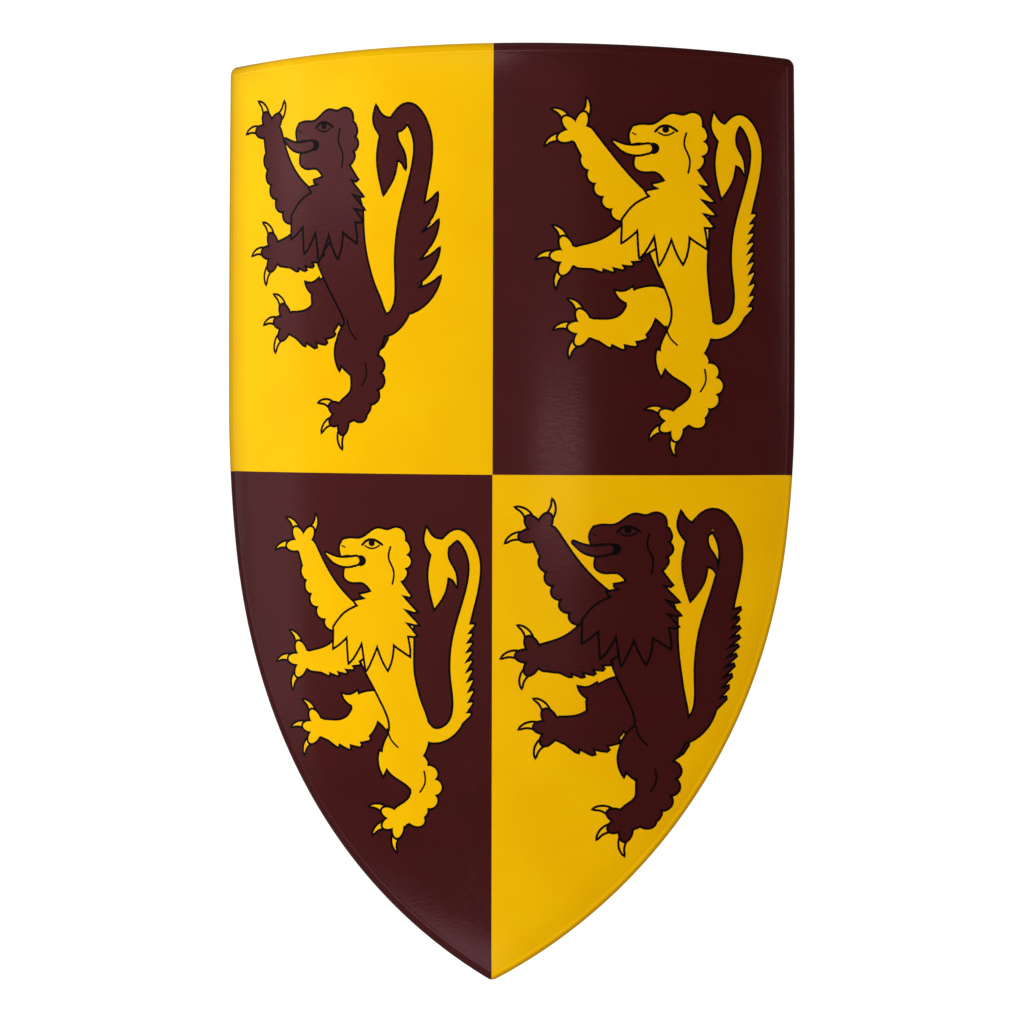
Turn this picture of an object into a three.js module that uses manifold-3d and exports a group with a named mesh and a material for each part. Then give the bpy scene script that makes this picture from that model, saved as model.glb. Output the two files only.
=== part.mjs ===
// Heater shield: a board bent round an upright axis, with a rolled rim, and two leather straps
// riveted to its hollow back. Millimetres. The shield lies face up: +Z is out of the painted
// face, +Y points to its broad upper edge, and +X is on the right seen from the front.
import * as THREE from "three";
import { ParametricGeometry } from "three/addons/geometries/ParametricGeometry.js";
import { mergeGeometries, mergeVertices } from "three/addons/utils/BufferGeometryUtils.js";
import Module from "manifold-3d";

const wasm = await Module();
wasm.setup();

// The outline is drawn on the unrolled face: u across it, v up it from the middle of its height.
const HEIGHT = 860; // from the tip to the middle of the upper edge
const HALF_WIDTH = 283; // along the face, where the sides are widest
const SHOULDER_HEIGHT = 96; // v where the sides are widest and start to close in
const SIDE_RADIUS = 19000; // of the nearly straight upper sides
const SHOULDER_RADIUS = 967;
const SHOULDER_SWEEP = THREE.MathUtils.degToRad(7.8); // before the point's arc takes over
const POINT_RADIUS = 533;
const UPPER_EDGE_RISE = 12.8; // of the upper edge's middle over its ends

// The bend and the section.
const BEND_RADIUS = 556; // of the painted face
const BOARD_THICKNESS = 9;
const RIM_WIDTH = 8.2;
const GROOVE_WIDTH = 1.6;
const GROOVE_DEPTH = 0.5;
const BEAD_RISE = 1; // of the bead over the painted face
const BEAD_ROLL = 3.2; // how far the bead rolls down over the edge
const BACK_CHAMFER = 1.4;

// The straps: the middle of each on the unrolled board, and the loop that it makes.
const ARM_HEIGHT = 45; // v of the line along which the forearm lies
const STRAP_THICKNESS = 4;
const TAB_LENGTH = 38; // of each flat end, riveted to the board
const LOOP_REACH = 0.42; // of the span: how square the loop's shoulders are
const STRAPS = [
  { name: "forearm_strap", across: 105, width: 48, span: 156, rise: 44 },
  { name: "hand_grip", across: -105, width: 32, span: 122, rise: 38 },
];
const RIVET_INSET = 15; // from the strap's end to the line of its rivets
const RIVET_SPACING = 0.5; // of the strap's width
const RIVET_HEAD_RADIUS = 5;
const RIVET_HEAD_HEIGHT = 2.6;
const RIVET_SHANK_RADIUS = 2;
const RIVET_HOLE_DEPTH = 6; // blind, so that the painted face stays whole
const GAP = 0.3; // between pieces that touch

// How finely the curves are divided.
const FIELD_COLUMNS = 20;
const OUTLINE_STEP = 40; // longest chord along the outline
const FAN_STEPS = 4; // round each corner of the rim
const BEAD_STEPS = 3;
const LOOP_STEPS = 10;
const STRAP_COLUMNS = 4;
const ROUND_SIDES = 12;

const PAINT = new THREE.MeshStandardMaterial({ color: "#e3ae12", roughness: 0.42, metalness: 0 });
const LEATHER = new THREE.MeshStandardMaterial({ color: "#5a3420", roughness: 0.65, metalness: 0 });
const STEEL = new THREE.MeshStandardMaterial({ color: "#6f6b66", roughness: 0.4, metalness: 1 });

// A place on the unrolled board, at a height over its painted face, carried to the bent board.
function bend(u, v, over) {
  const angle = u / BEND_RADIUS;
  const radius = BEND_RADIUS + over;
  return new THREE.Vector3(radius * Math.sin(angle), v, radius * Math.cos(angle) - BEND_RADIUS);
}

// A geometry as a closed solid: shared corners are merged and collapsed triangles left out.
function solidOf(geometry) {
  const bare = new THREE.BufferGeometry();
  bare.setAttribute("position", geometry.getAttribute("position"));
  bare.setIndex(geometry.index);
  const merged = mergeVertices(bare, 1e-3);
  const corners = Array.from(merged.index.array);
  const triangles = Array.from({ length: corners.length / 3 }, (_, n) => corners.slice(3 * n, 3 * n + 3));
  const kept = triangles.filter(([a, b, c]) => a !== b && b !== c && c !== a);
  const vertProperties = merged.getAttribute("position").array;
  return new wasm.Manifold(
    new wasm.Mesh({ numProp: 3, vertProperties, triVerts: new Uint32Array(kept.flat()) }),
  );
}

function geometryOf(solid) {
  const mesh = solid.getMesh();
  const geometry = new THREE.BufferGeometry();
  geometry.setAttribute("position", new THREE.BufferAttribute(mesh.vertProperties, 3));
  geometry.setIndex(new THREE.BufferAttribute(mesh.triVerts, 1));
  return geometry;
}

function named(name, geometry, material) {
  const mesh = new THREE.Mesh(geometry, material);
  mesh.name = name;
  return mesh;
}

// Stations along one arc of the field's outline: each is a point and the outward direction there.
function arcStations(centre, radius, from, to) {
  const steps = Math.ceil((radius * Math.abs(to - from)) / OUTLINE_STEP);
  return Array.from({ length: steps + 1 }, (_, step) => {
    const angle = THREE.MathUtils.lerp(from, to, step / steps);
    const outward = new THREE.Vector2(Math.cos(angle), Math.sin(angle));
    return { point: outward.clone().multiplyScalar(radius).add(centre), outward };
  });
}

// A corner of the field stays sharp, and the rim turns about it like a fan.
function fanStations(corner, from, to) {
  return Array.from({ length: FAN_STEPS + 1 }, (_, step) => {
    const angle = THREE.MathUtils.lerp(from, to, step / FAN_STEPS);
    return { point: corner.clone(), outward: new THREE.Vector2(Math.cos(angle), Math.sin(angle)) };
  });
}

// The right half of the field's outline, from the tip round to the middle of the upper edge. Its
// arcs are tangent to each other, and each is drawn a rim's width inside the board's own edge.
function halfOutline() {
  const sideCentre = new THREE.Vector2(HALF_WIDTH - SIDE_RADIUS, SHOULDER_HEIGHT);
  const shoulderCentre = new THREE.Vector2(HALF_WIDTH - SHOULDER_RADIUS, SHOULDER_HEIGHT);
  const pointCentre = new THREE.Vector2(Math.cos(SHOULDER_SWEEP), -Math.sin(SHOULDER_SWEEP));
  pointCentre.multiplyScalar(SHOULDER_RADIUS - POINT_RADIUS).add(shoulderCentre);
  const upperHalf = HALF_WIDTH - (HEIGHT / 2 - SHOULDER_HEIGHT) ** 2 / (2 * SIDE_RADIUS);
  const upperRadius = (upperHalf ** 2 + UPPER_EDGE_RISE ** 2) / (2 * UPPER_EDGE_RISE) - RIM_WIDTH;
  const upperCentre = new THREE.Vector2(0, HEIGHT / 2 - RIM_WIDTH - upperRadius);

  const sideRadius = SIDE_RADIUS - RIM_WIDTH;
  const pointRadius = POINT_RADIUS - RIM_WIDTH;
  const tipAngle = -Math.acos(-pointCentre.x / pointRadius);
  const tip = new THREE.Vector2(0, pointCentre.y + pointRadius * Math.sin(tipAngle));

  // The upper corner is where the side's circle crosses the upper edge's circle.
  const between = upperCentre.clone().sub(sideCentre);
  const toCrossing = sideRadius ** 2 - upperRadius ** 2 + between.lengthSq();
  const swing = Math.acos(toCrossing / (2 * sideRadius * between.length()));
  const sideAngle = Math.atan2(between.y, between.x) + swing;
  const corner = new THREE.Vector2(Math.cos(sideAngle), Math.sin(sideAngle));
  corner.multiplyScalar(sideRadius).add(sideCentre);
  const cornerAngle = corner.clone().sub(upperCentre).angle();

  return [
    ...fanStations(tip, -Math.PI / 2, tipAngle),
    ...arcStations(pointCentre, pointRadius, tipAngle, -SHOULDER_SWEEP),
    ...arcStations(shoulderCentre, SHOULDER_RADIUS - RIM_WIDTH, -SHOULDER_SWEEP, 0),
    ...arcStations(sideCentre, sideRadius, 0, sideAngle),
    ...fanStations(corner, sideAngle, cornerAngle),
    ...arcStations(upperCentre, upperRadius, cornerAngle, Math.PI / 2),
  ];
}

// The rim's section, from the edge of the painted field outwards and round to the back: a groove,
// a bead that rolls over the board's edge, and a chamfer. x is outwards and y over the face.
function rimSection() {
  const top = GROOVE_WIDTH + (RIM_WIDTH - GROOVE_WIDTH) / 2;
  const groove = new THREE.Vector2(GROOVE_WIDTH / 2, -GROOVE_DEPTH);
  const inner = new THREE.QuadraticBezierCurve(
    groove,
    new THREE.Vector2((groove.x + top) / 2 - GROOVE_WIDTH / 2, BEAD_RISE),
    new THREE.Vector2(top, BEAD_RISE),
  );
  const rollHeight = BEAD_RISE + BEAD_ROLL;
  const outer = new THREE.EllipseCurve(top, -BEAD_ROLL, RIM_WIDTH - top, rollHeight, Math.PI / 2, 0, true);
  return [
    new THREE.Vector2(0, 0),
    ...inner.getPoints(BEAD_STEPS),
    ...outer.getPoints(BEAD_STEPS).slice(1),
    new THREE.Vector2(RIM_WIDTH, BACK_CHAMFER - BOARD_THICKNESS),
    new THREE.Vector2(RIM_WIDTH - BACK_CHAMFER, -BOARD_THICKNESS),
    new THREE.Vector2(0, -BOARD_THICKNESS),
  ];
}

// The board: painted field, rim and back as three sheets that close on each other.
function boardSolid() {
  const half = halfOutline();
  const last = half.length - 1;
  const section = rimSection();
  const mirrored = half.map(({ point, outward }) => ({
    point: new THREE.Vector2(-point.x, point.y),
    outward: new THREE.Vector2(-outward.x, outward.y),
  }));
  const loop = [...half, ...mirrored.reverse()];

  const rimPoint = (across, along, target) => {
    const { point, outward } = loop[Math.round(along * (loop.length - 1))];
    const place = section[Math.round(across * (section.length - 1))];
    const flat = point.clone().addScaledVector(outward, place.x);
    target.copy(bend(flat.x, flat.y, place.y));
  };
  // Each row of a field runs straight across from one side of the outline to the other.
  const fieldPoint = (over) => (across, along, target) => {
    const { point } = half[Math.round(along * last)];
    target.copy(bend(point.x * (2 * across - 1), point.y, over));
  };
  const rim = new ParametricGeometry(rimPoint, section.length - 1, loop.length - 1);
  const front = new ParametricGeometry(fieldPoint(0), FIELD_COLUMNS, last);
  const back = new ParametricGeometry(fieldPoint(-BOARD_THICKNESS), FIELD_COLUMNS, last);
  back.index.array.reverse();
  return solidOf(mergeGeometries([front, rim, back]));
}

// The places of a strap's rivets on the unrolled board.
function rivetPlaces({ across, width, span }) {
  const along = span / 2 + TAB_LENGTH - RIVET_INSET;
  const aside = (RIVET_SPACING * width) / 2;
  return [-1, 1].flatMap((end) =>
    [-1, 1].map((side) => ({ u: across + side * aside, v: ARM_HEIGHT + end * along })),
  );
}

// The side view of a strap: flat tabs, and between them a loop that leaves the board in a smooth
// curve. x runs along the strap and y away from the board's back.
function strapProfile({ span, rise }) {
  const end = span / 2 + TAB_LENGTH;
  const reach = LOOP_REACH * span;
  const middle = new THREE.Path();
  middle.moveTo(-end, 0);
  middle.lineTo(-span / 2, 0);
  middle.bezierCurveTo(-reach, 0, -reach, rise, 0, rise);
  middle.bezierCurveTo(reach, rise, reach, 0, span / 2, 0);
  middle.lineTo(end, 0);
  const points = middle.getPoints(LOOP_STEPS);
  const offset = (side) =>
    points.map((point, n) => {
      const before = points[Math.max(n - 1, 0)];
      const after = points[Math.min(n + 1, points.length - 1)];
      const along = after.clone().sub(before).normalize();
      const outwards = new THREE.Vector2(-along.y, along.x);
      return outwards.multiplyScalar((side * STRAP_THICKNESS) / 2).add(point);
    });
  return new THREE.Shape([...offset(-1), ...offset(1).reverse()]);
}

// The plan of a strap: a strip with round ends.
function strapPlan({ width, span }) {
  const end = span / 2 + TAB_LENGTH - width / 2;
  const plan = new THREE.Shape();
  plan.absarc(end, 0, width / 2, -Math.PI / 2, Math.PI / 2);
  plan.absarc(-end, 0, width / 2, Math.PI / 2, 1.5 * Math.PI);
  return plan;
}

// A strap's geometry, with x along it, y away from the board and z across, laid on the bent board.
function onBoard(geometry, strap) {
  const position = geometry.getAttribute("position");
  for (let n = 0; n < position.count; n += 1) {
    const u = strap.across - position.getZ(n);
    const v = ARM_HEIGHT + position.getX(n);
    position.setXYZ(n, ...bend(u, v, -BOARD_THICKNESS - position.getY(n)));
  }
  return solidOf(geometry);
}

// A rod along the local normal, standing from one height over the painted face to another.
function standingRod(radius, low, high, { u, v }) {
  const rod = new THREE.CylinderGeometry(radius, radius, high - low, ROUND_SIDES);
  rod.rotateX(Math.PI / 2);
  rod.translate(0, 0, (low + high) / 2);
  rod.rotateY(u / BEND_RADIUS);
  return solidOf(rod.translate(...bend(u, v, 0)));
}

// A strap: its side view drawn out to its width, cut to its plan and pierced for its rivets.
function strapSolid(strap) {
  const { width, rise } = strap;
  const band = new THREE.ExtrudeGeometry(strapProfile(strap), {
    depth: width,
    steps: STRAP_COLUMNS,
    bevelEnabled: false,
  });
  band.translate(0, STRAP_THICKNESS / 2 + GAP, -width / 2);
  const plan = new THREE.ExtrudeGeometry(strapPlan(strap), {
    depth: 2 * rise,
    curveSegments: ROUND_SIDES / 2,
    bevelEnabled: false,
  });
  plan.rotateX(-Math.PI / 2);
  plan.translate(0, -rise / 2, 0);
  const cut = onBoard(band, strap).intersect(onBoard(plan, strap));
  return rivetPlaces(strap)
    .map((place) => standingRod(RIVET_SHANK_RADIUS + GAP, -2 * BOARD_THICKNESS, 0, place))
    .reduce((solid, hole) => solid.subtract(hole), cut);
}

// A rivet: a domed head on the strap and a shank that ends inside the board. Turned about +Y.
function rivetGeometry() {
  const underHead = STRAP_THICKNESS + 2 * GAP;
  const dome = new THREE.EllipseCurve(0, underHead, RIVET_HEAD_RADIUS, RIVET_HEAD_HEIGHT, 0, Math.PI / 2);
  return new THREE.LatheGeometry(
    [
      new THREE.Vector2(0, GAP - RIVET_HOLE_DEPTH),
      new THREE.Vector2(RIVET_SHANK_RADIUS, GAP - RIVET_HOLE_DEPTH),
      new THREE.Vector2(RIVET_SHANK_RADIUS, underHead),
      ...dome.getPoints(BEAD_STEPS),
    ],
    ROUND_SIDES,
  );
}

function rivet(name, { u, v }) {
  const mesh = named(name, rivetGeometry(), STEEL);
  mesh.position.copy(bend(u, v, -BOARD_THICKNESS));
  mesh.rotation.set(-Math.PI / 2, u / BEND_RADIUS, 0, "YXZ");
  return mesh;
}

const shield = new THREE.Group();
const holeBottom = RIVET_HOLE_DEPTH - BOARD_THICKNESS;
const board = STRAPS.flatMap(rivetPlaces)
  .map((place) => standingRod(RIVET_SHANK_RADIUS + GAP, -2 * BOARD_THICKNESS, holeBottom, place))
  .reduce((solid, hole) => solid.subtract(hole), boardSolid());
const boardMesh = named("shield_board", geometryOf(board), PAINT);
shield.add(boardMesh);
for (const strap of STRAPS) {
  shield.add(named(strap.name, geometryOf(strapSolid(strap)), LEATHER));
  rivetPlaces(strap).forEach((place, n) => shield.add(rivet(`${strap.name}_rivet_${n + 1}`, place)));
}

// The shield rests on its two long edges, so the frame's origin is brought down to them.
boardMesh.geometry.computeBoundingBox();
const { min, max } = boardMesh.geometry.boundingBox;
shield.children.forEach((piece) => piece.position.add(new THREE.Vector3(0, -(min.y + max.y) / 2, -min.z)));

export default shield;
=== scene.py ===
# %% [markdown]
# # A heater shield
# A heater shield is a board of wood bent round an upright axis, covered with hide or canvas, and
# painted. A cord under the cover makes a raised rim. Two leather straps are riveted to its hollow
# back, one for the forearm and one for the hand.
# This lesson lays the finished surfaces over a plain model that already has the right sizes. The
# plain model is loaded first and is never moved, so every piece has a place to go.

import bpy
import numpy as np
from mathutils import Matrix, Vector
from mathutils.geometry import delaunay_2d_cdt


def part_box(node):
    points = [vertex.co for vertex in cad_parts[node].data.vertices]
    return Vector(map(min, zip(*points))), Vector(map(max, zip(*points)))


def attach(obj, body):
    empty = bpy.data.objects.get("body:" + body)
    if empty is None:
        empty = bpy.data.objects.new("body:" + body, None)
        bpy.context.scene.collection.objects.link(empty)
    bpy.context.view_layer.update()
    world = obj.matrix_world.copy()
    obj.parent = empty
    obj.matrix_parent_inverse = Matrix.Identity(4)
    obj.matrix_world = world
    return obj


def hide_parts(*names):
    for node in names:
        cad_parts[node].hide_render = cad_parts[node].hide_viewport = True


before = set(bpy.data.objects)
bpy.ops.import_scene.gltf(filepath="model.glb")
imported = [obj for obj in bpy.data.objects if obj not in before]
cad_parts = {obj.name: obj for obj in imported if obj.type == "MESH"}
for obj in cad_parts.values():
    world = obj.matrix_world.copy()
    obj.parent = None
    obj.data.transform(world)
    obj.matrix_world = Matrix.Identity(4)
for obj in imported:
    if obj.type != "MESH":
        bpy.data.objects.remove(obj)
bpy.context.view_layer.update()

# %% [markdown]
# ## The pattern and the bend
# A shield maker marks the outline on a flat board and bends it afterwards. The same is done here.
# Every shape is drawn flat, with u across the shield and v up it, and one function carries it to
# the bent shield. The sizes are in millimetres, because that is what a maker measures, and only
# the bend turns them to metres.

# %% Carrying the flat pattern to the bent board
MM = 0.001
HEIGHT = 860.0  # from the tip to the middle of the upper edge
BEND_RADIUS = 556.0  # of the painted face
BEAD_RISE = 1.0  # of the rim over the painted face
board_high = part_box("shield_board")[1]
CROWN = board_high.z - BEAD_RISE * MM  # height of the painted face along its middle
MIDDLE = board_high.y - HEIGHT / 2 * MM  # where v is nothing


def bend(flat, over):
    """Places on the flat pattern carried to the bent shield, in metres. The angle is u divided by
    the bend's radius, and over is the height over the painted face."""
    u, v = flat[..., 0], flat[..., 1]
    reach = BEND_RADIUS + over
    x = reach * np.sin(u / BEND_RADIUS)
    z = reach * np.cos(u / BEND_RADIUS) - BEND_RADIUS
    return np.stack(np.broadcast_arrays(x * MM, v * MM + MIDDLE, z * MM + CROWN), axis=-1)


print("the face's crown is", round(CROWN / MM, 2), "mm over the floor")

# %% [markdown]
# ## The camera
# The shield lies on its back and the camera looks down on it, a little from its right and from
# its head. A long lens three metres away keeps the sides nearly parallel. The direction is worked
# out from two angles, and the camera's axes are then written straight into its matrix.

# %% Camera
CAMERA_DISTANCE = 3.053
CAMERA_YAW = np.radians(10.66)
CAMERA_PITCH = np.radians(2.13)
CAMERA_ROLL = np.radians(0.141)
aim = np.array([0.0183, 0.0018, CROWN])
backwards = np.array([
    np.sin(CAMERA_YAW) * np.cos(CAMERA_PITCH),
    np.sin(CAMERA_PITCH),
    np.cos(CAMERA_YAW) * np.cos(CAMERA_PITCH),
])
level = np.array([np.cos(CAMERA_YAW), 0.0, -np.sin(CAMERA_YAW)])
upright = np.cross(backwards, level)
rightwards = np.cos(CAMERA_ROLL) * level + np.sin(CAMERA_ROLL) * upright
upwards = np.cos(CAMERA_ROLL) * upright - np.sin(CAMERA_ROLL) * level

camera = bpy.data.objects.new("camera", bpy.data.cameras.new("camera"))
camera.data.lens = 117.2
camera.data.sensor_width = 36.0
turn = Matrix(np.stack([rightwards, upwards, backwards], axis=1)).to_4x4()
camera.matrix_world = Matrix.Translation(aim + CAMERA_DISTANCE * backwards) @ turn
bpy.context.collection.objects.link(camera)
bpy.context.scene.camera = camera
bpy.context.scene.view_settings.view_transform = "Standard"
print("camera at", [round(c, 3) for c in camera.location])

# %% [markdown]
# ## Helpers for meshes
# Every surface here is a sheet of points on a grid, or a set of triangles worked out as whole
# arrays. Where two sheets meet, their edge points fall in the same place, and welding them makes
# one closed skin. Welding also drops the triangles that a grid squeezes to nothing at a corner.

# %% Sheets, welding and pieces
SAME_PLACE = 1e-6  # metres: places nearer than this become one point


def sheet(places, flipped=False):
    """A grid of places as a plain list, and its triangles. They face you when the rows run upwards
    and the columns run to the right, and away from you when flipped."""
    rows, columns = places.shape[:2]
    corner = np.arange(rows - 1)[:, None] * columns + np.arange(columns - 1)
    a, b, c, d = corner, corner + 1, corner + columns + 1, corner + columns
    faces = np.concatenate([np.stack([a, b, c], -1), np.stack([a, c, d], -1)]).reshape(-1, 3)
    return places.reshape(-1, 3), faces[:, ::-1] if flipped else faces


def joined(*sheets):
    """Several lists of places and triangles put into one pair, with the triangles renumbered."""
    starts = np.cumsum([0] + [len(places) for places, faces in sheets[:-1]])
    faces = np.concatenate([faces + start for (places, faces), start in zip(sheets, starts)])
    return np.concatenate([places for places, faces in sheets]), faces


def weld(name, places, faces, materials):
    """An object in which places in the same spot are one point. Also returns which place each
    point comes from and which faces are kept: one that was squeezed to nothing is dropped."""
    keys = np.round(places / SAME_PLACE).astype(np.int64)
    first, point = np.unique(keys, axis=0, return_index=True, return_inverse=True)[1:]
    faces = point.reshape(-1)[faces]
    kept = (faces != np.roll(faces, 1, axis=1)).all(axis=1)
    mesh = bpy.data.meshes.new(name)
    mesh.from_pydata(places[first].tolist(), [], faces[kept].tolist())
    for material in materials:
        mesh.materials.append(material)
    mesh.shade_smooth()
    made = bpy.data.objects.new(name, mesh)
    bpy.context.collection.objects.link(made)
    return made, first, kept


def make_piece(name, skin, nodes, materials):
    """A piece welded from a skin of places and triangles. It rides with the shield and stands for
    the named plain pieces."""
    made, first, kept = weld(name, *skin, materials)
    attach(made, "root")
    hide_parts(*nodes)
    return made, first, kept


def add_map(made, name, places):
    """A UV map with a place for each corner of each face."""
    layer = made.data.uv_layers.new(name=name)
    layer.uv.foreach_set("vector", np.asarray(places, np.float32).ravel())


def add_numbers(made, name, values):
    """A number kept on each point, which a material can read by name."""
    layer = made.data.attributes.new(name, "FLOAT", "POINT")
    layer.data.foreach_set("value", np.asarray(values, np.float32))


print("helpers ready")

# %% [markdown]
# ## Helpers for materials
# Colours are written as a painter would pick them on a screen, and one function turns them to the
# linear values that light needs. One other function adds a node, sets it and links it.

# %% Colours and nodes
def colour(code):
    """A screen colour such as #EDB208 as linear red, green, blue and a full alpha."""
    screen = np.array([int(code[n:n + 2], 16) for n in (1, 3, 5)]) / 255
    linear = np.where(screen <= 0.04045, screen / 12.92, ((screen + 0.055) / 1.055) ** 2.4)
    return (*linear.tolist(), 1.0)


def node(tree, kind, inputs=None, **settings):
    """Adds one shader node. settings are its own properties, and each input is a value for that
    socket or the output that feeds it."""
    made = tree.nodes.new("ShaderNode" + kind)
    for name, value in settings.items():
        setattr(made, name, value)
    for name, value in (inputs or {}).items():
        if isinstance(value, bpy.types.NodeSocket):
            tree.links.new(value, made.inputs[name])
        else:
            made.inputs[name].default_value = value
    return made


def new_material(name):
    """An empty node material, and its tree."""
    material = bpy.data.materials.new(name)
    material.use_nodes = True
    material.node_tree.nodes.clear()
    return material, material.node_tree


def drifting(tree, place, size, detail, low, high, first, second, distortion=0.0):
    """A colour that drifts from the first to the second where a noise with patches of that size,
    in mm, goes from low to high. Returns the colour and the noise."""
    noise = node(tree, "TexNoise", {"Vector": place, "Scale": 1000 / size, "Detail": detail,
                                    "Distortion": distortion}).outputs["Fac"]
    share = node(tree, "MapRange", {"Value": noise, "From Min": low, "From Max": high}).outputs[0]
    tone = node(tree, "Mix", {0: share, 6: colour(first), 7: colour(second)}, data_type="RGBA")
    return tone.outputs[2], noise


print("yellow in linear light:", [round(c, 3) for c in colour("#EDB208")])

# %% [markdown]
# ## The studio
# The shield lies on a white opal sheet that is lit from below and carried up all round it, so that
# no shadow, edge or corner of the room shows from any side. It is a turned profile: a flat disc and
# then a curve upwards.

# %% The lit sheet under and round the shield
SHEET_FLAT = 5.0  # metres to where the sheet starts to rise
SHEET_RISE = 1.6
RISE_STEPS = 24
TURN_STEPS = 96


def bowl():
    """The sheet as a turned profile: out to the flat part's edge, and then a quarter of a circle
    up. Its rows go outwards and its columns go round."""
    swing = np.linspace(0, np.pi / 2, RISE_STEPS)
    out = np.concatenate([[0.0], SHEET_FLAT + SHEET_RISE * np.sin(swing)])[:, None]
    high = np.concatenate([[0.0], SHEET_RISE * (1 - np.cos(swing))])[:, None]
    turn = np.linspace(0, 2 * np.pi, TURN_STEPS + 1)
    return np.stack([out * np.sin(turn), out * np.cos(turn), high * np.ones_like(turn)], axis=-1)


# Opal acrylic over lamps, as on a light table: it glows evenly, so no shadow shows on it.
opal, tree = new_material("acrylic_opal_lit")
place = node(tree, "TexCoord").outputs["Object"]
mottle = node(tree, "TexNoise", {"Vector": place, "Scale": 3.0, "Detail": 3.0}).outputs["Fac"]
white = node(tree, "MapRange", {"Value": mottle, "To Min": 0.16, "To Max": 0.18}).outputs[0]
surface = node(tree, "BsdfPrincipled", {
    "Base Color": white, "Roughness": 1.0, "Specular IOR Level": 0.0,
    "Emission Color": colour("#FFFFFF"), "Emission Strength": 1.0})
node(tree, "OutputMaterial", {"Surface": surface.outputs["BSDF"]})

lit_sheet = weld("lit_sheet", *sheet(bowl(), flipped=True), [opal])[0]
print("lit sheet:", len(lit_sheet.data.polygons), "faces")

# %% [markdown]
# ## The lights
# A glossy bent board mirrors a whole strip of the room. Light from straight across the bend shows
# as a bright band along the shield, and light from its head or foot is mirrored away from above.
# So the strong lights that show the colours stand towards the head and foot, most of them on the
# left, cool there and warm on the right. They are large, so that the board mirrors them softly when
# it is seen from the side. Only weak ones stand across the bend, where they draw the bands of gloss.

# %% Soft boxes
def soft_box(name, azimuth, lean, distance, wide, long, power, tint):
    """An oblong light that looks at the shield. Its azimuth is the angle from straight up towards
    the shield's right, and its lean is the angle out of that plane towards the upper edge."""
    a, b = np.radians(azimuth), np.radians(lean)
    towards = np.array([np.sin(a) * np.cos(b), np.sin(b), np.cos(a) * np.cos(b)])
    side = np.cross([0.0, 1.0, 0.0], towards)
    side /= np.linalg.norm(side)
    data = bpy.data.lights.new(name, "AREA")
    data.shape = "RECTANGLE"
    data.size = wide
    data.size_y = long
    data.energy = power
    data.color = colour(tint)[:3]
    light = bpy.data.objects.new(name, data)
    axes = np.stack([side, np.cross(towards, side), towards], axis=1)
    light.matrix_world = Matrix.Translation(towards * distance) @ Matrix(axes).to_4x4()
    bpy.context.collection.objects.link(light)
    return light


COOL = "#F5FBFF"
WARM = "#FFCE95"
ROSY = "#FFD4D0"
PLAIN = "#FFFFFF"
for settings in (
    # name, azimuth, lean, distance, width, length, watts, tint
    ("head_left", -44, 49, 2.6, 4.0, 2.8, 103.0, COOL),
    ("foot_left", -44, -49, 2.6, 4.0, 2.8, 62.0, COOL),
    ("head_right", 28, 46, 2.6, 2.4, 2.0, 7.0, WARM),
    ("foot_right", 28, -46, 2.6, 2.4, 2.0, 16.5, WARM),
    ("broad_sheen", -27, 6, 2.4, 3.4, 1.4, 5.0, ROSY),
    ("left_sheen", -65, 4, 2.4, 0.8, 1.5, 2.5, PLAIN),
    ("corner_sheen", -50, 14, 2.4, 0.9, 0.4, 1.2, PLAIN),
    ("overhead_sheen", 4.5, -0.2, 2.4, 0.46, 0.22, 0.6, PLAIN),
    ("right_line", 66, 1, 2.4, 0.3, 1.8, 2.2, PLAIN),
    ("right_corner", 66, 9, 2.4, 0.4, 0.35, 1.2, PLAIN),
):
    soft_box(*settings)

world = bpy.data.worlds.new("room")
bpy.context.scene.world = world
world.use_nodes = True
world.node_tree.nodes["Background"].inputs["Color"].default_value = colour("#F4F4F4")
world.node_tree.nodes["Background"].inputs["Strength"].default_value = 0.02
print("lights:", len(bpy.data.lights))

# %% [markdown]
# ## The outline
# Half of the outline is five arcs, each tangent to the next: the point, the shoulder, the nearly
# straight side, and the shallow upper edge, with a sharp corner where the last two cross. The same
# rule draws the outline at any distance inside the board's edge, because an inset arc keeps its
# centre and only loses radius. So one function gives the edge itself, the line where the rim
# starts, and the line where the turned-over cover ends.

# %% The outline at any inset
HALF_WIDTH = 283.0
SHOULDER_HEIGHT = 96.0  # v where the sides are widest
SIDE_RADIUS = 19000.0
SHOULDER_RADIUS = 967.0
SHOULDER_SWEEP = np.radians(7.8)
POINT_RADIUS = 533.0
UPPER_EDGE_RISE = 12.8
RIM_WIDTH = 8.2
QUARTER_HEIGHT = 35.6  # v of the level line between the painted quarters

side_centre = np.array([HALF_WIDTH - SIDE_RADIUS, SHOULDER_HEIGHT])
shoulder_centre = np.array([HALF_WIDTH - SHOULDER_RADIUS, SHOULDER_HEIGHT])
point_centre = shoulder_centre + (SHOULDER_RADIUS - POINT_RADIUS) * np.array(
    [np.cos(SHOULDER_SWEEP), -np.sin(SHOULDER_SWEEP)])
upper_half = HALF_WIDTH - (HEIGHT / 2 - SHOULDER_HEIGHT) ** 2 / (2 * SIDE_RADIUS)
UPPER_RADIUS = (upper_half**2 + UPPER_EDGE_RISE**2) / (2 * UPPER_EDGE_RISE)
upper_centre = np.array([0.0, HEIGHT / 2 - UPPER_RADIUS])


def arc(centre, radius, start, stop, steps):
    """Places along an arc, and the outward direction at each. With no radius it is a sharp corner
    about which the direction turns."""
    angle = np.linspace(start, stop, steps + 1)
    away = np.stack([np.cos(angle), np.sin(angle)], axis=-1)
    return centre + radius * away, away


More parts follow.
